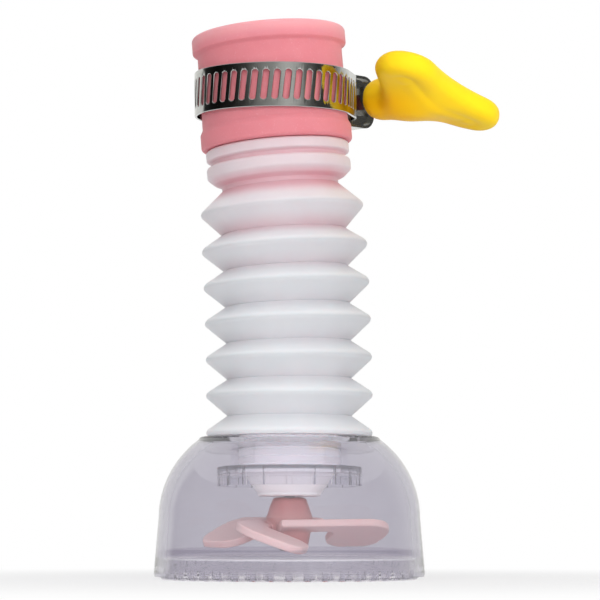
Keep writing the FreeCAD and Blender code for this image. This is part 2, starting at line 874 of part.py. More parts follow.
def build_clamp_saddle():
    """Steel bridge under the housing: a plate on the sleeve's side and a rail along each edge of the band."""
    body = new_body("clamp_saddle")
    edge = s.band_width / 2 + s.band_gap
    rail = free_back + s.band_gap * 4
    sketch = new_sketch(body, "XZ_Plane", "saddle_section")
    draw_outline(sketch, [
        (saddle_face, -housing_half),
        (rail, -housing_half),
        (rail, -edge),
        (fixed_face, -edge),
        (fixed_face, edge),
        (rail, edge),
        (rail, housing_half),
        (saddle_face, housing_half),
    ])
    pad(body, "saddle", sketch, s.flat_half * 1.95, symmetric=True)
    body.Placement = clamp_place
    return body


def arch(low, high, half, rounding):
    """Corners of an arch open below: up one side, over the round shoulders and down the other side."""
    return [
        (low, -half),
        (high - rounding, -half, rounding, 1),
        (high, rounding - half),
        (high, half - rounding, rounding, 1),
        (high - rounding, half),
        (low, half),
    ]


def build_clamp_housing():
    """Folded steel housing: an arch over the worm down to the saddle, and two inner walls that hold it."""
    body = new_body("clamp_housing")
    sheet = s.housing_sheet
    foot = saddle_face + s.housing_foot_lift
    inside = arch(foot, housing_inside, housing_half, s.housing_round)
    outside = arch(foot, housing_inside + sheet, housing_half + sheet, s.housing_round + sheet)
    sketch = new_sketch(body, "XZ_Plane", "arch_section")
    draw_outline(sketch, outside + backwards(inside))
    pad(body, "arch", sketch, s.housing_length, symmetric=True)
    walls = (("near_wall", near_wall, s.worm_neck), ("far_wall", -near_wall - sheet, s.worm_tip))
    for name, lift, shaft in walls:
        sketch = new_sketch(body, "XZ_Plane", f"{name}_outline", lift=lift)
        draw_outline(sketch, arch(free_back + s.worm_bite, housing_inside, housing_half, s.housing_round))
        draw_circle(sketch, worm_reach, 0, shaft + s.shaft_fit)
        pad(body, name, sketch, sheet)
    body.Placement = clamp_place
    return body


# Worm and key share a frame on the worm's axis: Z towards the key, X away from the sleeve.

worm_place = clamp_place * Placement(
    Vector(worm_reach.value, 0, 0),
    Rotation(Vector(1, 0, 0), 90) * Rotation(Vector(0, 0, 1), -s.key_roll.value),
)
end_play = s.shaft_fit * 2
collar_base = near_wall + s.housing_sheet + end_play
hex_base = collar_base + s.worm_collar_length
hex_end = hex_base + s.hex_length


def draw_hexagon(sketch, flats):
    corner = flats / math.sqrt(3)
    angles = [math.radians(60 * k) for k in range(6)]
    draw_outline(sketch, [(corner * math.cos(angle), corner * math.sin(angle)) for angle in angles])


def build_worm_screw():
    """Steel worm: tip in the far wall, core under the arch, neck in the near wall, collar and hexagon."""
    body = new_body("worm_screw")
    tip_end = -near_wall - s.housing_sheet * 2
    core_half = near_wall - end_play
    revolve(body, "worm", [
        (0, tip_end),
        (s.worm_tip, tip_end),
        (s.worm_tip, -core_half),
        (s.worm_root, -core_half),
        (s.worm_root, core_half),
        (s.worm_neck, core_half),
        (s.worm_neck, collar_base),
        (s.worm_collar, collar_base),
        (s.worm_collar, hex_base),
        (0, hex_base),
    ])
    sketch = new_sketch(body, "XY_Plane", "hexagon_outline", lift=hex_base)
    draw_hexagon(sketch, s.hex_flats)
    pad(body, "hexagon", sketch, s.hex_length)
    body.Placement = worm_place
    return body


def build_thumb_key():
    """Yellow butterfly key: ball-fronted hub with a hexagon socket, and a thick rounded wing across it."""
    body = new_body("thumb_key")
    ear = s.key_ear_radius
    ear_middle = s.key_half_span - ear
    notch = s.key_notch_height
    dip = (ear_middle * ear_middle + notch * notch - ear * ear) / ((ear - notch) * 2)
    share = dip / (dip + ear)
    joint_span = ear_middle * share
    joint_rise = (dip + notch) * (1 - share)
    middle = s.key_wing_middle
    across = s.key_web_radius - ear_middle
    along = s.key_web_start - middle
    reach = across * across + along * along
    near = ear * ear / reach
    beside = ear * root(reach - ear * ear) / reach
    touch_span = ear_middle + across * near - along * beside
    touch_height = middle + along * near + across * beside
    sketch = new_sketch(body, "XZ_Plane", "wing_outline")
    draw_outline(sketch, [
        (s.key_web_radius, s.key_web_start),
        (touch_span, touch_height, ear, 1),
        (s.key_half_span, middle, ear, 1),
        (joint_span, middle + joint_rise, dip, -1),
        (-joint_span, middle + joint_rise, ear, 1),
        (-s.key_half_span, middle, ear, 1),
        (-touch_span, touch_height),
        (-s.key_web_radius, s.key_web_start),
    ])
    pad(body, "wing", sketch, s.key_thickness, symmetric=True)
    half = s.key_thickness.value / 2
    on_a_face = lambda edge: abs(abs(edge.CenterOfMass.y) - half) < 0.01
    round_edges(body, "wing_edges", s.key_edge_round, on_a_face)
    hub = s.key_hub_radius
    flare_height = middle - ear * 0.7
    revolve(body, "hub", [
        (0, s.key_start, hub, 1),
        (hub, s.key_start + hub),
        (s.key_flare_radius, flare_height),
        (half * 0.8, middle),
        (0, middle),
    ])
    sketch = new_sketch(body, "XY_Plane", "socket_outline", lift=hex_end + s.shaft_fit)
    draw_hexagon(sketch, s.hex_flats + s.shaft_fit * 2)
    pocket(body, "socket", sketch, hex_end + s.shaft_fit - hex_base)
    body.Placement = worm_place
    return body


def build_all():
    """Every sub-part, from the base up."""
    head = [build_dome(), build_spray_plate(), build_bellows_foot(), build_lock_ring(), build_nozzle_cup()]
    head += [build_fan_axle(), build_fan()]
    neck = build_pleats() + [build_bellows_collar()]
    inlet = [build_inlet_sleeve(), build_clamp_band(), build_band_tail(), build_clamp_saddle()]
    inlet += [build_clamp_housing(), build_worm_screw(), build_thumb_key()]
    return head + neck + inlet


def check(parts):
    """Stop if a feature failed or a sub-part is not one valid solid."""
    for item in doc.Objects:
        if {"Invalid", "Error"} & set(item.State):
            raise RuntimeError(f"{item.Label} failed: {item.State}")
    for part in parts:
        if part.Shape.isNull() or not part.Shape.isValid() or len(part.Shape.Solids) != 1:
            raise RuntimeError(f"{part.Label} is not one valid solid")


sub_parts = build_all()
doc.recompute()
check(sub_parts)
os.makedirs("parts", exist_ok=True)
for sub_part in sub_parts:
    sub_part.Shape.exportStep(f"parts/{sub_part.Label}.step")
    print(f"{sub_part.Label}: {sub_part.Shape.Volume:.1f} mm3")
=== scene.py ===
import math

import bpy
from mathutils import Matrix, Vector


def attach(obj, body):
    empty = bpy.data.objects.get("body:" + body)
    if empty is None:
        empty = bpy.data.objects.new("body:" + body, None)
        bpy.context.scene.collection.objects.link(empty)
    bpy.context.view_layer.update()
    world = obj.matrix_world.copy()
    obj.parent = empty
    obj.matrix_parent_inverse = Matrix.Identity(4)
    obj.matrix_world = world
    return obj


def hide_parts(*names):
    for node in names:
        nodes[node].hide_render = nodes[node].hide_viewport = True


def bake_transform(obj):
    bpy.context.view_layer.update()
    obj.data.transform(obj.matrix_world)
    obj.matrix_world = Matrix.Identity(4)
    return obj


# A tap extender: rubber inlet sleeve in a worm-drive clamp, bellows neck, clear splash dome and spinning fan.
# Metres and radians. The origin is the middle of the base, +Z is up and the camera looks along +Y.

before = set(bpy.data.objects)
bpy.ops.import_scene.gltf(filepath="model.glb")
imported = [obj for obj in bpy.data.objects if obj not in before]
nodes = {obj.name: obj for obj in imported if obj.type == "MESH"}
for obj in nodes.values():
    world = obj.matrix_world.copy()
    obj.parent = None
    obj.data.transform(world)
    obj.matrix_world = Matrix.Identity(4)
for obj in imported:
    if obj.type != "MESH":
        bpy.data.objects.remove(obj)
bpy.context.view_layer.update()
MM = 0.001


# Neck: it leans towards -X along one arc as it rises, and the inlet goes on straight

FOOT_ROOT = 32.95 * MM
WALL_HEIGHTS = [height * MM for height in [4.2, 3.32] * 5 + [4.5, 4.65]]
NECK_LEAN = math.radians(4.6)
NECK_ARC = sum(WALL_HEIGHTS) / NECK_LEAN


def neck_place(run):
    """Middle and lean of the neck at a run along its arc."""
    lean = run / NECK_ARC
    return Vector((NECK_ARC * (math.cos(lean) - 1), 0, FOOT_ROOT + NECK_ARC * math.sin(lean))), lean


INLET, INLET_LEAN = neck_place(sum(WALL_HEIGHTS))
INLET_AXIS = Vector((-math.sin(INLET_LEAN), 0, math.cos(INLET_LEAN)))

# Clamp: its own axes have the housing on +X, the key towards -Y and the band's width along Z.
# The key's axes have its wing's span along X and its hub's axis along Z, from the middle of the worm.

CLAMP_MIDDLE = Vector((-3.4235, 0.0, 98.8876)) * MM
CLAMP_AXES = (
    Matrix.Rotation(math.radians(1.5), 3, "X")
    @ Matrix.Rotation(math.radians(-0.5), 3, "Y")
    @ Matrix.Rotation(math.radians(48.0), 3, "Z")
)
CLAMP_TURN = CLAMP_AXES.to_euler()
WORM_FOOT = Vector((10.226, 15.152, 99.404)) * MM
KEY_AXES = CLAMP_AXES @ Matrix.Rotation(math.radians(90), 3, "X") @ Matrix.Rotation(math.radians(-17.5), 3, "Z")


# Finishes

def tone(red, green, blue):
    """A colour as it shows on a screen, 0 to 255, for a shader socket."""
    shares = [level / 255 for level in (red, green, blue)]
    return (*[share / 12.92 if share <= 0.04045 else ((share + 0.055) / 1.055) ** 2.4 for share in shares], 1)


class Wire:
    """An output socket in a finish. An expression on wires adds its Math nodes."""

    def __init__(self, finish, socket):
        self.finish = finish
        self.socket = socket

    def math(self, operation, first, second):
        """A Math node's result for two wires or numbers."""
        return self.finish.add("ShaderNodeMath", {"operation": operation}, {0: first, 1: second})

    def __add__(self, other):
        return self.math("ADD", self, other)

    def __radd__(self, other):
        return self.math("ADD", other, self)

    def __sub__(self, other):
        return self.math("SUBTRACT", self, other)

    def __rsub__(self, other):
        return self.math("SUBTRACT", other, self)

    def __mul__(self, other):
        return self.math("MULTIPLY", self, other)

    def __rmul__(self, other):
        return self.math("MULTIPLY", other, self)

    def __truediv__(self, other):
        return self.math("DIVIDE", self, other)

    def __pow__(self, other):
        return self.math("POWER", self, other)


class Finish:
    """The nodes of one material, or of the world. Each method adds a node and gives its output as a wire."""

    def __init__(self, name, owner=None):
        self.material = owner or bpy.data.materials.new(name)
        self.material.use_nodes = True
        self.tree = self.material.node_tree
        self.tree.nodes.clear()

    def add(self, kind, settings=None, sockets=None, output=0):
        """A node of a kind. Settings are its properties, or a ramp's stops, and sockets get values or wires."""
        node = self.tree.nodes.new(kind)
        for name, setting in (settings or {}).items():
            if name == "stops":
                for place, colour in setting[len(node.color_ramp.elements):]:
                    node.color_ramp.elements.new(place)
                for element, (place, colour) in zip(node.color_ramp.elements, setting):
                    element.position = place
                    element.color = colour
            else:
                setattr(node, name, setting)
        for name, value in (sockets or {}).items():
            if isinstance(value, Wire):
                self.tree.links.new(value.socket, node.inputs[name])
            else:
                node.inputs[name].default_value = value
        return Wire(self, node.outputs[output]) if node.outputs else None

    def place(self):
        """Object coordinates."""
        return self.add("ShaderNodeTexCoord", output="Object")

    def skin_place(self):
        """The place that each point of a bending skin has at rest, so that a pattern stays on it."""
        return self.add("ShaderNodeAttribute", {"attribute_name": "rest_place"}, output="Vector")

    def seen_from(self, middle, turn):
        """Object coordinates measured from a middle, along axes that are turned."""
        sockets = {"Vector": self.place(), "Location": middle, "Rotation": turn}
        return self.add("ShaderNodeMapping", {"vector_type": "TEXTURE"}, sockets)

    def stretched(self, place, stretch):
        """A place whose numbers are multiplied, which draws a pattern out where they get smaller."""
        return self.add("ShaderNodeMapping", {}, {"Vector": place, "Scale": stretch})

    def parts(self, place):
        """The three numbers of a place."""
        split = self.add("ShaderNodeSeparateXYZ", {}, {0: place})
        return [Wire(self, socket) for socket in split.socket.node.outputs]

    def noise(self, place, size, detail=2.0, roughness=0.5):
        """Soft noise from 0 to 1 with blotches of about a size."""
        sockets = {"Vector": place, "Scale": 1 / size, "Detail": detail, "Roughness": roughness}
        return self.add("ShaderNodeTexNoise", {}, sockets)

    def ease(self, value, low, high):
        """0 below low, 1 above high and a smooth rise between them."""
        sockets = {"Value": value, "From Min": low, "From Max": high}
        return self.add("ShaderNodeMapRange", {"interpolation_type": "SMOOTHSTEP"}, sockets)

    def mix(self, share, first, second, way="MIX"):
        """Two colours, or wires of colour, mixed by a share of the second, or put together in another way."""
        settings = {"data_type": "RGBA", "blend_type": way}
        return self.add("ShaderNodeMix", settings, {0: share, 6: first, 7: second}, output=2)

    def bump(self, height, depth, strength=1.0):
        """A surface relief whose height of 1 stands for a depth in metres."""
        return self.add("ShaderNodeBump", {}, {"Height": height, "Distance": depth, "Strength": strength})

    def shader(self, **sockets):
        """The main shader, with its sockets written as names in small letters."""
        named = {name.replace("_", " ").title().replace("Ior", "IOR"): value for name, value in sockets.items()}
        return self.add("ShaderNodeBsdfPrincipled", {}, named)

    def finished(self, surface):
        """The material, once its surface is joined to the output."""
        self.add("ShaderNodeOutputMaterial", {}, {"Surface": surface})
        return self.material


def rays(finish, *kinds):
    """1 for rays of the named kinds, and 0 for all others."""
    path = finish.add("ShaderNodeLightPath").socket.node
    found = Wire(finish, path.outputs[kinds[0]])
    for kind in kinds[1:]:
        found = found.math("MAXIMUM", found, Wire(finish, path.outputs[kind]))
    return found


def bellows_plastic():
    """Milky blow-moulded plastic, with painted pink light from the sleeve showing through near the top and in
    its creases, and a spigot painted whiter below the flange.
    """
    finish = Finish("bellows_plastic")
    place = finish.skin_place()
    x, y, z = finish.parts(place)
    rise = z - FOOT_ROOT
    across = x + rise * rise / (2 * NECK_ARC)
    reach = (across * across + y * y) ** 0.5
    crease = 1 - finish.ease(reach, 12.3 * MM, 15.6 * MM)
    near_sleeve = finish.ease(z, 56 * MM, 92 * MM)
    mottle = finish.noise(place, 7 * MM, 3)
    above_dome = finish.ease(z, 30 * MM, 36 * MM)
    # Painted light: the sleeve's pink showing through the wall, strongest near the top and deeper in the
    # creases.
    painted_pink_light = (near_sleeve * (0.25 + 0.75 * crease) + 0.08 * crease * above_dome) * (0.75 + 0.5 * mottle)
    white = finish.mix(mottle, tone(237, 238, 241), tone(230, 231, 235))
    # Painted light: the spigot below the flange is painted whiter, against the shade under the flange.
    white = finish.mix(finish.ease(z, 28.2 * MM, 29.2 * MM), tone(253, 253, 255), white)
    colour = finish.mix(painted_pink_light.math("MINIMUM", painted_pink_light, 1.0), white, tone(231, 172, 182))
    grain = finish.noise(place, 0.5 * MM, 3)
    ripple = finish.noise(finish.stretched(place, (1, 1, 3)), 6 * MM, 2)
    relief = finish.bump(grain * 0.3 + ripple, 0.05 * MM, 0.6)
    surface = finish.shader(
        base_color=colour,
        roughness=0.36 + 0.12 * mottle,
        subsurface_weight=0.25,
        subsurface_radius=(1.0, 0.6, 0.55),
        subsurface_scale=1.2 * MM,
        normal=relief,
    )
    return finish.finished(surface)


def pink_rubber():
    """Matt pink rubber with a faint bloom, fine mould grain and painted light that makes the lip paler towards
    its top.
    """
    finish = Finish("pink_rubber")
    place = finish.place()
    bloom = finish.noise(place, 5 * MM, 4, 0.6)
    speck = finish.noise(place, 0.35 * MM, 2)
    colour = finish.mix(bloom, tone(229, 132, 142), tone(236, 149, 157))
    colour = finish.mix(finish.ease(speck, 0.62, 0.72) * 0.2, colour, tone(250, 190, 194))
    x, _, z = finish.parts(place)
    height = (z - INLET.z) * INLET_AXIS.z + (x - INLET.x) * INLET_AXIS.x
    # Painted light: the lip is painted paler towards its top, where light falls on it and shines through.
    lip = finish.ease(height, 28.4 * MM, 32 * MM)
    colour = finish.mix(lip * 0.7, colour, tone(252, 184, 190))
    drawn = finish.noise(finish.stretched(place, (1, 1, 0.12)), 1.1 * MM, 2)
    relief = finish.bump(speck * 0.5 + drawn * 0.5, 0.05 * MM, 0.7)
    surface = finish.shader(
        base_color=colour,
        roughness=0.5 + 0.15 * bloom,
        specular_ior_level=0.3,
        subsurface_weight=0.2,
        subsurface_radius=(1.0, 0.35, 0.3),
        subsurface_scale=1.5 * MM,
        normal=relief,
    )
    return finish.finished(surface)


PAINTED_BAND_EDGE = 0.2
CLEAR_SHARE = 0.85


def clear_plastic(name, shade, haze_shade, haze, lines=(), clear_above=None):
    """Clear moulded plastic with a little haze, flow lines and rubbed spots. Light from lamps passes through.

    Each line is a band of painted shade or painted highlight between two heights in millimetres, with its
    tone, its share of that tone and how milky it is. Above the height clear_above, the plastic hardly shows.
    """
    finish = Finish(name)
    place = finish.place()
    flow = finish.noise(finish.stretched(place, (1, 1, 0.3)), 9 * MM, 2)
    fine = finish.noise(place, 1.2 * MM, 3)
    rubbed = finish.ease(finish.noise(place, 14 * MM, 4, 0.65), 0.5, 0.75)
    relief = finish.bump(flow + fine * 0.15, 0.05 * MM, 0.4)
    colour = finish.mix(flow * 0.3, shade, tone(250, 249, 252))
    dullness = haze * (0.85 + 0.3 * rubbed)
    z = finish.parts(place)[2]
    if clear_above:
        clear_share = finish.ease(z, clear_above * MM, (clear_above + 0.3) * MM)
        colour = finish.mix(clear_share, colour, tone(252, 252, 253))
        dullness = dullness * (1 - clear_share)
    # Painted bands: each line paints shade or a highlight, in the clear colour and in the milky haze.
    for low, high, painted_band_tone, share, milky in lines:
        over = finish.ease(z, low * MM, (low + PAINTED_BAND_EDGE) * MM)
        line = over * (1 - finish.ease(z, (high - PAINTED_BAND_EDGE) * MM, high * MM))
        colour = finish.mix(line * share, colour, painted_band_tone)
        haze_shade = finish.mix(line, haze_shade, painted_band_tone)
        dullness = dullness + line * milky
    glass = finish.shader(
        base_color=colour,
        roughness=0.01 + 0.05 * rubbed,
        ior=1.49,
        transmission_weight=1.0,
        normal=relief,
    )
    dull = finish.shader(base_color=haze_shade, roughness=0.6, normal=relief)
    hazed = finish.add("ShaderNodeMixShader", {}, {0: dullness, 1: glass, 2: dull})
    clear = finish.add("ShaderNodeBsdfTransparent", {}, {0: tone(253, 252, 254)})
    passed = rays(finish, "Is Shadow Ray", "Is Diffuse Ray")
    if clear_above:
        passed = passed.math("MAXIMUM", passed, clear_share * CLEAR_SHARE)
    surface = finish.add("ShaderNodeMixShader", {}, {0: passed, 1: hazed, 2: clear})
    return finish.finished(surface)


def cup_plastic():
    """Glossy white plastic with a faint mottle."""
    finish = Finish("cup_plastic")
    place = finish.place()
    mottle = finish.noise(place, 3 * MM, 3)
    fine = finish.noise(place, 0.4 * MM, 2)
    surface = finish.shader(
        base_color=finish.mix(mottle, tone(254, 254, 255), tone(247, 247, 250)),
        roughness=0.25 + 0.15 * mottle,
        subsurface_weight=0.15,
        subsurface_radius=(1.0, 0.8, 0.8),
        subsurface_scale=1.0 * MM,
        normal=finish.bump(fine, 0.02 * MM, 0.5),
    )
    return finish.finished(surface)


def fan_plastic():
    """Pale pink plastic, deeper on the hub where it is thick."""
    finish = Finish("fan_plastic")
    place = finish.place()
    x, y, _ = finish.parts(place)
    reach = (x * x + y * y) ** 0.5
    mottle = finish.noise(place, 4 * MM, 3)
    thick = 1 - finish.ease(reach, 3.6 * MM, 7 * MM)
    blade = finish.mix(mottle, tone(238, 209, 207), tone(236, 202, 200))
    fine = finish.noise(place, 0.5 * MM, 2)
    surface = finish.shader(
        base_color=finish.mix(thick, blade, tone(196, 134, 132)),
        roughness=0.3 + 0.15 * mottle,
        subsurface_weight=0.2,
        subsurface_radius=(1.0, 0.5, 0.5),
        subsurface_scale=1.2 * MM,
        normal=finish.bump(fine, 0.02 * MM, 0.5),
    )
    return finish.finished(surface)


def key_plastic():
    """Soft yellow plastic, with painted orange shade towards the hub's lower side."""
    finish = Finish("key_plastic")
    place = finish.place()
    mottle = finish.noise(place, 6 * MM, 3)
    fine = finish.noise(place, 0.45 * MM, 3)
    height = finish.parts(finish.seen_from(WORM_FOOT, KEY_AXES.to_euler()))[2]
    z = finish.parts(place)[2]
    # Painted shade: orange towards the hub and on its lower side, where less light falls.
    root = 1 - finish.ease(height, 19 * MM, 31 * MM)
    below = 1 - finish.ease(z, 97 * MM, 101 * MM)
    painted_hub_shade = root * below * 0.85
    yellow = finish.mix(mottle, tone(255, 216, 34), tone(254, 209, 28))
    surface = finish.shader(
        base_color=finish.mix(painted_hub_shade, yellow, tone(255, 192, 6)),
        roughness=0.4 + 0.12 * mottle,
        specular_ior_level=0.1,
        subsurface_weight=0.15,
        subsurface_radius=(1.0, 0.6, 0.1),
        subsurface_scale=1.5 * MM,
        normal=finish.bump(fine, 0.03 * MM, 0.6),
    )
    return finish.finished(surface)


def rolled_steel(name, light, dark, grain_size, dullness):
    """Rolled stainless strip: fine lines along the band's loop and light stains."""
    finish = Finish(name)
    place = finish.seen_from(CLAMP_MIDDLE, CLAMP_TURN)
    lines = finish.noise(finish.stretched(place, (0.04, 0.04, 1)), grain_size, 3, 0.6)
    stain = finish.noise(place, 5 * MM, 4, 0.6)
    colour = finish.mix(stain, light, dark)
    surface = finish.shader(
        base_color=finish.mix(lines * 0.35, colour, tone(120, 122, 120)),
        metallic=1.0,
        roughness=dullness + 0.07 * stain + 0.05 * lines,
        normal=finish.bump(lines, 0.006 * MM, 0.8),
    )
    return finish.finished(surface)


FINISHES = {
    "bellows": bellows_plastic(),
    "rubber": pink_rubber(),
    "dome": clear_plastic(
        "dome_clear", tone(253, 252, 254), tone(212, 210, 218), 0.045,
        # Painted shade: a darker band low on the dome, just above the plate.
        lines=[(4.6, 6.1, tone(228, 225, 232), 1.0, 0.0)],
    ),
    "plate": clear_plastic(
        "plate_clear", tone(241, 240, 244), tone(196, 194, 202), 0.07,
        # Painted highlight: a pale milky band along the plate's top rim.
        lines=[(3.75, 4.4, tone(252, 252, 254), 1.0, 0.25)],
    ),
    "ring": clear_plastic(
        "ring_clear", tone(240, 240, 244), tone(200, 200, 206), 0.05,
        # Painted shade: a dark line along the ring's top edge.
        lines=[(21.9, 22.75, tone(96, 98, 104), 0.8, 0.0)], clear_above=22.6,
    ),
    "cup": cup_plastic(),
    "fan": fan_plastic(),
    "key": key_plastic(),
    "band": rolled_steel("band_steel", tone(206, 206, 204), tone(186, 187, 184), 0.5 * MM, 0.04),
    "housing": rolled_steel("housing_steel", tone(200, 199, 196), tone(174, 174, 170), 0.4 * MM, 0.12),
    "worm": rolled_steel("worm_steel", tone(176, 174, 168), tone(150, 148, 142), 0.6 * MM, 0.16),
    "pin": rolled_steel("pin_steel", tone(200, 200, 200), tone(178, 178, 178), 0.3 * MM, 0.14),
}


def dress(finish, *pieces):
    """Pieces get a finish in place of any material that they have."""
    for piece in pieces:
        piece.data.materials.clear()
        piece.data.materials.append(FINISHES[finish])


def dress_bellows(piece):
    """The bellows finish follows each point's place at rest, which is kept on the mesh."""
    places = piece.data.attributes.new("rest_place", "FLOAT_VECTOR", "POINT")
    places.data.foreach_set("vector", [number for vertex in piece.data.vertices for number in vertex.co])
    dress("bellows", piece)


dress("dome", nodes["dome"])
dress("plate", nodes["spray_plate"])
dress("ring", nodes["lock_ring"])
dress("cup", nodes["nozzle_cup"])
dress("pin", nodes["fan_axle"])
dress("band", nodes["band_tail"])
dress("housing", nodes["clamp_saddle"], nodes["clamp_housing"])
dress("worm", nodes["worm_screw"])


# Ways to make a piece. The four sizes of a pleat's wall are millimetres.

EASE_STEPS = 5
RING_SIDES = 112
SHARP_ANGLE = math.radians(32)
WALL_STEPS = 6
CREST_RISE, CREST_DROP = 0.85, 0.5
CREST_WALL, ROOT_WALL = 1.1, 0.9


def rounded(corners):
    """Points of a closed outline whose corners (across, up, ease) are rounded to their ease."""
    points = []
    for before, corner, after in zip(corners[-1:] + corners[:-1], corners, corners[1:] + corners[:1]):
        here = Vector(corner[:2])
        ease = corner[2] if len(corner) > 2 else 0
        if not ease:
            points.append(here)
            continue
        back = (Vector(before[:2]) - here).normalized()
        on = (Vector(after[:2]) - here).normalized()
        half = back.angle(on) / 2
        middle = here + (back + on).normalized() * (ease / math.sin(half))
        reach = ease / math.tan(half)
        start = here + back * reach - middle
        end = here + on * reach - middle
        turns = [start.slerp(end, step / EASE_STEPS).normalized() for step in range(EASE_STEPS + 1)]
        points += [middle + turn * ease for turn in turns]
    return points


def draw_rings(name, stations):
    """A closed tube: one ring is drawn out along stations of (middle, lean, radius) until it meets its start."""
    middle, lean, radius = stations[0]
    bpy.ops.object.select_all(action="DESELECT")
    bpy.ops.mesh.primitive_circle_add(
        vertices=RING_SIDES, radius=radius, location=middle, rotation=(0, -lean, 0),
    )
    piece = bpy.context.object
    piece.name = name
    piece.data.name = name
    bpy.ops.object.transform_apply(location=True, rotation=True, scale=True)
    bpy.ops.object.mode_set(mode="EDIT")
    bpy.ops.mesh.select_all(action="SELECT")
    for before, after in zip(stations, stations[1:] + stations[:1]):
        middle, lean, radius = after
        bpy.ops.mesh.extrude_region_move(TRANSFORM_OT_translate={"value": middle - before[0]})
        if lean != before[1]:
            bpy.ops.transform.rotate(value=lean - before[1], orient_axis="Y", center_override=middle)
        bpy.ops.transform.resize(value=(radius / before[2],) * 3, center_override=middle)
    bpy.ops.mesh.select_all(action="SELECT")
    bpy.ops.mesh.remove_doubles(threshold=0.003 * MM)
    bpy.ops.mesh.normals_make_consistent(inside=False)
    bpy.ops.object.mode_set(mode="OBJECT")
    bpy.ops.object.shade_smooth_by_angle(angle=SHARP_ANGLE)
    return piece


def turn_straight(name, corners, foot=Vector(), axis=Vector((0, 0, 1)), lean=0.0):
    """A turned piece from a closed outline of (radius, height, ease) in millimetres about one straight axis."""
    outline = rounded([tuple(number * MM for number in corner) for corner in corners])
    return draw_rings(name, [(foot + axis * point.y, lean, point.x) for point in outline])


def draw_wall(name, start, height, root, tip, rising):
    """One closed wall of a pleat, from its rounded crest of radius tip to its crease of radius root.

    The two radii are in millimetres. The wall starts at a run along the neck, and rises to its crest or from it.
    """
    shares = [step / WALL_STEPS for step in range(WALL_STEPS + 1)]
    outline = [(CREST_RISE * MM * share, tip - CREST_DROP * share ** 2) for share in shares]
    crest_run, crest_radius = outline[-1]
    for share in shares[1:]:
        outline.append((crest_run + (height - crest_run) * share, crest_radius + (root - crest_radius) * share))
    inner_tip, inner_root = tip - CREST_WALL, root - ROOT_WALL
    for share in reversed(shares):
        outline.append((height * share, inner_tip + (inner_root - inner_tip) * share))
    if rising:
        outline = [(height - run, radius) for run, radius in outline]
    return draw_rings(name, [(*neck_place(start + run), radius * MM) for run, radius in outline])


def merged_copy(node, name):
    """A carried solid's mesh as a new piece, with its loose triangles joined."""
    bpy.ops.object.select_all(action="DESELECT")
    piece = bpy.data.objects.new(name, nodes[node].data.copy())
    piece.data.name = name
    bpy.context.scene.collection.objects.link(piece)
    piece.select_set(True)
    bpy.context.view_layer.objects.active = piece
    bpy.ops.object.mode_set(mode="EDIT")
    bpy.ops.mesh.select_all(action="SELECT")
    bpy.ops.mesh.remove_doubles(threshold=0.001 * MM)
    bpy.ops.mesh.normals_make_consistent(inside=False)
    bpy.ops.object.mode_set(mode="OBJECT")
    return piece


def finish_with(piece, kind, **settings):
    """A modifier of a kind on a piece, set and applied."""
    modifier = piece.modifiers.new(kind.lower(), kind)
    for name, setting in settings.items():
        setattr(modifier, name, setting)
    bpy.context.view_layer.objects.active = piece
    bpy.ops.object.modifier_apply(modifier=modifier.name)


# Clamp band: the punched slots and the strip's edges get the small round that rolling leaves

band = merged_copy("clamp_band", "clamp_band_strip")
bpy.ops.object.mode_set(mode="EDIT")
bpy.ops.mesh.select_all(action="SELECT")
bpy.ops.mesh.dissolve_limited(angle_limit=math.radians(1.0))
bpy.ops.object.mode_set(mode="OBJECT")
finish_with(
    band, "BEVEL", width=0.15 * MM, segments=3, limit_method="ANGLE",
    angle_limit=math.radians(40), use_clamp_overlap=False,
)
bpy.ops.object.shade_smooth_by_angle(angle=math.radians(35))
finish_with(band, "WEIGHTED_NORMAL", mode="FACE_AREA", weight=100, keep_sharp=True)
dress("band", band)
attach(band, "inlet")
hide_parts("clamp_band")


# Thumb key: the hub flows into the wing through a web, and a shallow valley runs between the wing's rolled
# rim and its swollen middle. The wing's outline is a round ear on each side of a wide dip. All sizes are
# millimetres along the key's own axes, and a fade is the range over which something comes or goes.

WING_START = 16
WING_MIDDLE = 26.85
WING_HALF = 2.15
EAR_START, EAR_MIDDLE, EAR_RADIUS = 8.79, 10.5, 6.75
DIP_MIDDLE, DIP_RADIUS = 67.01, 34.76
WEB_RISE, WEB_REACH = 3.1, 6.2
WEB_FADE, WEB_RIM_FADE = (20, 33), (1, 5)
ROOT_FADE_IN, ROOT_FADE_OUT = (13, 17), (22, 28)
RIM_FADE = (WING_MIDDLE - 3, WING_MIDDLE)
RIM_RISE, RIM_MIDDLE, RIM_REACH = 0.3, 3.1, 1.6
SWELL_RISE, SWELL_MIDDLE, SWELL_REACH = 0.25, 6.8, 2.2
INNER_DEPTH, EDGE_DEPTH = 1.9, 0.8


def rim_distance(span, height):
    """Distance of a place on the wing from its outer rim."""
    span = abs(span)
    if span > EAR_START:
        return EAR_RADIUS - math.hypot(span - EAR_MIDDLE, height - WING_MIDDLE)
    return math.hypot(span, DIP_MIDDLE - height) - DIP_RADIUS


def bell(value, middle, reach):
    """1 at the middle, and a soft fall on both sides."""
    return math.exp(-(((value - middle) / reach) ** 2))


def smooth_share(value, low, high):
    """0 below low, 1 above high and a smooth rise between them."""
    share = min(max((value - low) / (high - low), 0), 1)
    return share * share * (3 - 2 * share)


def key_place(vertex):
    """Span, depth and height of a point of the key."""
    return (KEY_AXES.transposed() @ (vertex.co - WORM_FOOT)) / MM


def push_out(vertex, depth, distance):
    """A point of the key goes outwards, away from the wing's middle plane."""
    vertex.co += KEY_AXES @ Vector((0, math.copysign(distance * MM, depth), 0))


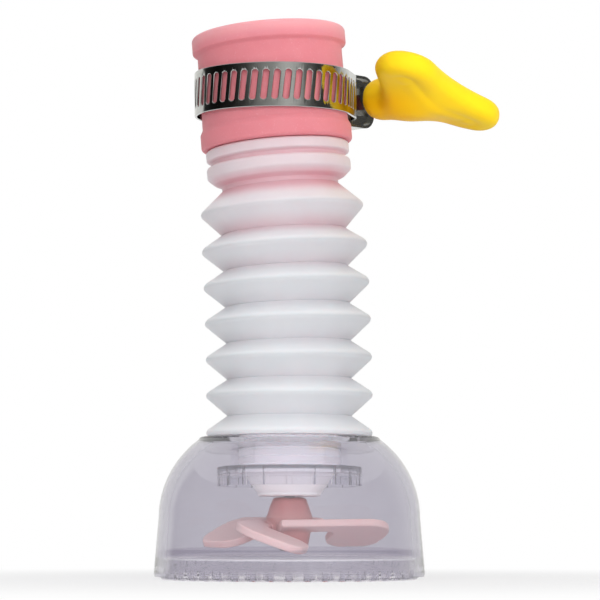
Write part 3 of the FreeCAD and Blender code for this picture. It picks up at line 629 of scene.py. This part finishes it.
key = merged_copy("thumb_key", "thumb_key_moulding")
finish_with(key, "REMESH", mode="VOXEL", voxel_size=0.28 * MM, use_smooth_shade=True)
for vertex in key.data.vertices:
    span, depth, height = key_place(vertex)
    if height < WING_START:
        continue
    fade = (1 - smooth_share(height, *WEB_FADE)) * smooth_share(rim_distance(span, height), *WEB_RIM_FADE)
    web = WING_HALF + WEB_RISE * bell(span, 0, WEB_REACH) * fade
    if INNER_DEPTH < abs(depth) < web:
        push_out(vertex, depth, web - abs(depth))
finish_with(key, "SMOOTH", factor=0.5, iterations=80)
root = key.vertex_groups.new(name="hub_to_wing")
for vertex in key.data.vertices:
    height = key_place(vertex).z
    share = smooth_share(height, *ROOT_FADE_IN) * (1 - smooth_share(height, *ROOT_FADE_OUT))
    root.add([vertex.index], share, "REPLACE")
finish_with(key, "SMOOTH", factor=0.5, iterations=260, vertex_group="hub_to_wing")
key.vertex_groups.clear()
for vertex in key.data.vertices:
    span, depth, height = key_place(vertex)
    inside = rim_distance(span, height)
    near_rim = smooth_share(height, *RIM_FADE)
    rim = RIM_RISE * bell(inside, RIM_MIDDLE, RIM_REACH)
    swell = SWELL_RISE * bell(inside, SWELL_MIDDLE, SWELL_REACH)
    if abs(depth) > EDGE_DEPTH:
        push_out(vertex, depth, abs(swell - rim) * near_rim)
finish_with(key, "SMOOTH", factor=0.5, iterations=12)
dress("key", key)
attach(key, "worm")
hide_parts("thumb_key")


# Fan: its edges are rounded as a mould leaves them, and it tilts a little, as its loose bore lets it

FAN_TILT = math.radians(2.2)
FAN_MIDDLE = Vector((0, 0, 11.0)) * MM

fan = merged_copy("fan", "fan_moulding")
finish_with(fan, "REMESH", mode="VOXEL", voxel_size=0.2 * MM, use_smooth_shade=True)
finish_with(fan, "SMOOTH", factor=0.5, iterations=14)
tilt = Matrix.Rotation(FAN_TILT, 3, "X")
for vertex in fan.data.vertices:
    vertex.co = FAN_MIDDLE + tilt @ (vertex.co - FAN_MIDDLE)
dress("fan", fan)
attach(fan, "rotor")
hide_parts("fan")


# Bellows: the foot, twelve walls, two for each pleat, and the collar that the sleeve goes over.
# The top pleat, under the collar, has radii of its own.

PLEATS = 6
ROOT_RADIUS, TOP_ROOT_RADIUS = 12.6, 11.9
CREST_RADIUS, TOP_CREST_RADIUS = 16.9, 16.6

foot = turn_straight("bellows_foot_moulding", [
    (8.3, 21.95, 0.25),
    (10.5, 21.95, 0.35),
    (10.5, 22.9),
    (10.2, 23.2),
    (10.5, 23.5),
    (10.5, 24.4),
    (10.2, 24.7),
    (10.5, 25.0),
    (10.5, 25.9),
    (10.2, 26.2),
    (10.5, 26.5),
    (10.5, 28.75),
    (16.2, 28.75),
    (16.69, 28.95),
    (16.9, 29.45),
    (16.87, 29.65),
    (16.78, 29.87),
    (16.62, 30.1),
    (16.4, 30.3),
    (12.6, 32.95),
    (11.7, 32.95),
    (15.14, 30.01),
    (14.48, 29.65),
    (8.3, 29.65, 0.4),
])
dress_bellows(foot)
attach(foot, "head")
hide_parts("bellows_foot")

run = 0.0
for index, height in enumerate(WALL_HEIGHTS):
    pleat = PLEATS - index // 2
    rising = index % 2 == 0
    half = "lower" if rising else "upper"
    root = TOP_ROOT_RADIUS if pleat == 1 and not rising else ROOT_RADIUS
    tip = TOP_CREST_RADIUS if pleat == 1 else CREST_RADIUS
    wall = draw_wall(f"bellows_pleat_{pleat}_{half}", run, height, root, tip, rising)
    dress_bellows(wall)
    neck_place(run)[0]
    neck_place(run + height)[0]
    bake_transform(wall)
    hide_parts(f"pleat_{pleat}_{half}")
    run += height

collar = turn_straight("bellows_collar_moulding", [
    (11.0, 0.0),
    (11.9, 0.0),
    (11.9, 0.9, 0.35),
    (13.4, 1.55, 0.9),
    (14.75, 2.75, 0.8),
    (14.75, 5.1, 0.75),
    (13.6, 5.1, 0.25),
    (13.6, 5.9, 0.25),
    (14.65, 6.35, 0.4),
    (14.65, 8.5, 0.7),
    (12.6, 8.5),
    (12.6, 15.0, 0.4),
    (10.4, 15.0, 0.4),
    (10.4, 1.7, 0.3),
], INLET, INLET_AXIS, INLET_LEAN)
dress_bellows(collar)
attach(collar, "ring_1_upper")
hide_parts("bellows_collar")


# Inlet sleeve: its lip at the top and its bead at the foot are rounded as soft rubber is

sleeve = turn_straight("inlet_sleeve_rubber", [
    (12.65, 8.55),
    (15.5, 8.55, 0.75),
    (15.5, 11.8, 0.8),
    (14.97, 12.9, 0.8),
    (14.95, 14.75),
    (14.85, 28.1, 0.5),
    (15.8, 28.75, 0.5),
    (15.8, 32.1, 0.85),
    (11.25, 32.1, 0.45),
    (11.25, 15.1),
    (12.65, 15.1),
], INLET, INLET_AXIS, INLET_LEAN)
dress("rubber", sleeve)
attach(sleeve, "inlet")
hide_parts("inlet_sleeve")


# Studio: behind the clear plastic, floor and surroundings show in the grey of the photograph's backdrop

WHITE = (1, 1, 1, 1)
BACKDROP_TONE = tone(187, 185, 194)
WORLD_SHARE = 0.42
CONTACT_SHARE = 0.55
FLOOR_SIZE = 8
SCREEN_RADIUS, SCREEN_HEIGHT, SCREEN_FOOT = 1.6, 1.6, -0.6

# Brightness of the screen by direction from the object: degrees to the right from the camera's side
SCREEN_SHADES = {
    -125: 1.0, -117: 0.02, -90: 0.006, -60: 0.02, -40: 0.07, -28: 0.18, -16: 0.33, -5: 0.4, 6: 0.5,
    17: 0.72, 28: 0.74, 40: 0.52, 51: 0.2, 70: 0.06, 100: 0.08, 125: 0.9, 135: 1.0,
}


def build_floor():
    """Pale floor. Far from the object it is plain white to the camera, and near it keeps its shadow."""
    bpy.ops.object.select_all(action="DESELECT")
    bpy.ops.mesh.primitive_plane_add(size=FLOOR_SIZE)
    floor = bpy.context.object
    floor.name = "studio_floor"
    finish = Finish("floor_paper")
    paper = finish.noise(finish.place(), 40 * MM, 4)
    dull = finish.shader(base_color=finish.mix(paper, tone(246, 246, 247), tone(243, 243, 245)), roughness=0.8)
    backdrop = finish.mix(rays(finish, "Is Transmission Ray"), WHITE, BACKDROP_TONE)
    lit = finish.add("ShaderNodeEmission", {}, {0: backdrop, 1: 1.0})
    x, y, _ = finish.parts(finish.place())
    away = finish.ease((x * x + y * y) ** 0.5, 45 * MM, 160 * MM)
    plain = CONTACT_SHARE + (1 - CONTACT_SHARE) * away
    seen = rays(finish, "Is Camera Ray", "Is Glossy Ray", "Is Transmission Ray") * plain
    mixed = finish.add("ShaderNodeMixShader", {}, {0: seen, 1: dull, 2: lit})
    floor.data.materials.append(finish.finished(mixed))


def build_surroundings():
    """A white world, which lights the object at a share of its strength."""
    world = bpy.data.worlds.new("studio_surroundings")
    bpy.context.scene.world = world
    surroundings = Finish("studio_surroundings", world)
    bright = rays(surroundings, "Is Camera Ray", "Is Glossy Ray", "Is Transmission Ray")
    strength = bright * (1 - WORLD_SHARE) + WORLD_SHARE
    colour = surroundings.mix(rays(surroundings, "Is Transmission Ray"), WHITE, BACKDROP_TONE)
    glow = surroundings.add("ShaderNodeBackground", {}, {0: colour, 1: strength})
    surroundings.add("ShaderNodeOutputWorld", {}, {0: glow})


def build_screen():
    """A round screen, dark on most sides, which only shows in what shines and gives the steel its dark parts."""
    bpy.ops.object.select_all(action="DESELECT")
    bpy.ops.mesh.primitive_circle_add(vertices=96, radius=SCREEN_RADIUS, location=(0, 0, SCREEN_FOOT))
    screen = bpy.context.object
    screen.name = "dark_screen"
    bpy.ops.object.transform_apply(location=True)
    bpy.ops.object.mode_set(mode="EDIT")
    bpy.ops.mesh.select_all(action="SELECT")
    bpy.ops.mesh.extrude_region_move(TRANSFORM_OT_translate={"value": (0, 0, SCREEN_HEIGHT)})
    bpy.ops.object.mode_set(mode="OBJECT")
    finish = Finish("dark_screen")
    x, y, _ = finish.parts(finish.place())
    way = x.math("ARCTAN2", x, -1 * y)
    fold = finish.noise(finish.place(), 0.4, 2)
    stops = [(degrees / 360 + 0.5, (shade, shade, shade * 0.97, 1)) for degrees, shade in SCREEN_SHADES.items()]
    shade = finish.add("ShaderNodeValToRGB", {"stops": stops}, {0: way / (2 * math.pi) + 0.5})
    cloth = finish.mix(1.0, shade, 0.85 + 0.2 * fold, "MULTIPLY")
    glow = finish.add("ShaderNodeEmission", {}, {0: cloth, 1: 1.0})
    screen.data.materials.append(finish.finished(glow))
    screen.visible_camera = False
    screen.visible_diffuse = False
    screen.visible_transmission = False
    screen.visible_volume_scatter = False
    screen.visible_shadow = False


def add_lamp(name, place, aim, size, power, spread=180):
    """A round soft lamp of a size in metres and a power in watts, whose light spreads by an angle in degrees."""
    lamp = bpy.data.objects.new(name, bpy.data.lights.new(name, "AREA"))
    bpy.context.scene.collection.objects.link(lamp)
    lamp.data.shape = "DISK"
    lamp.data.size = size
    lamp.data.energy = power
    lamp.data.spread = math.radians(spread)
    lamp.location = place
    lamp.rotation_euler = (Vector(aim) - Vector(place)).to_track_quat("-Z", "Y").to_euler()
    lamp.visible_glossy = False
    lamp.visible_transmission = False


build_floor()
build_surroundings()
build_screen()
add_lamp("lamp_above", (0.0, -0.25, 0.8), (0, 0, 0.06), 0.6, 1.7)
add_lamp("lamp_front", (0.06, -0.95, 0.33), (0, 0, 0.06), 0.7, 3.7)
add_lamp("lamp_key", (0.3, -0.45, 0.0), (0.033, 0, 0.097), 0.05, 0.0085, 8)
add_lamp("lamp_low", (0.02, -0.6, 0.02), (0, 0, 0.006), 0.05, 0.001, 7)

CAMERA_PLACE = (0.00214, -0.515, 0.0105)
CAMERA_TILT = math.radians(95.12)
CAMERA_LENS = 152.1

camera = bpy.data.objects.new("photo_camera", bpy.data.cameras.new("photo_camera"))
bpy.context.scene.collection.objects.link(camera)
bpy.context.scene.camera = camera
camera.location = CAMERA_PLACE
camera.rotation_euler = (CAMERA_TILT, 0, 0)
camera.data.lens = CAMERA_LENS
camera.data.sensor_width = 36
camera.data.clip_start = 0.01
camera.data.clip_end = 20

bpy.context.scene.view_settings.view_transform = "Standard"
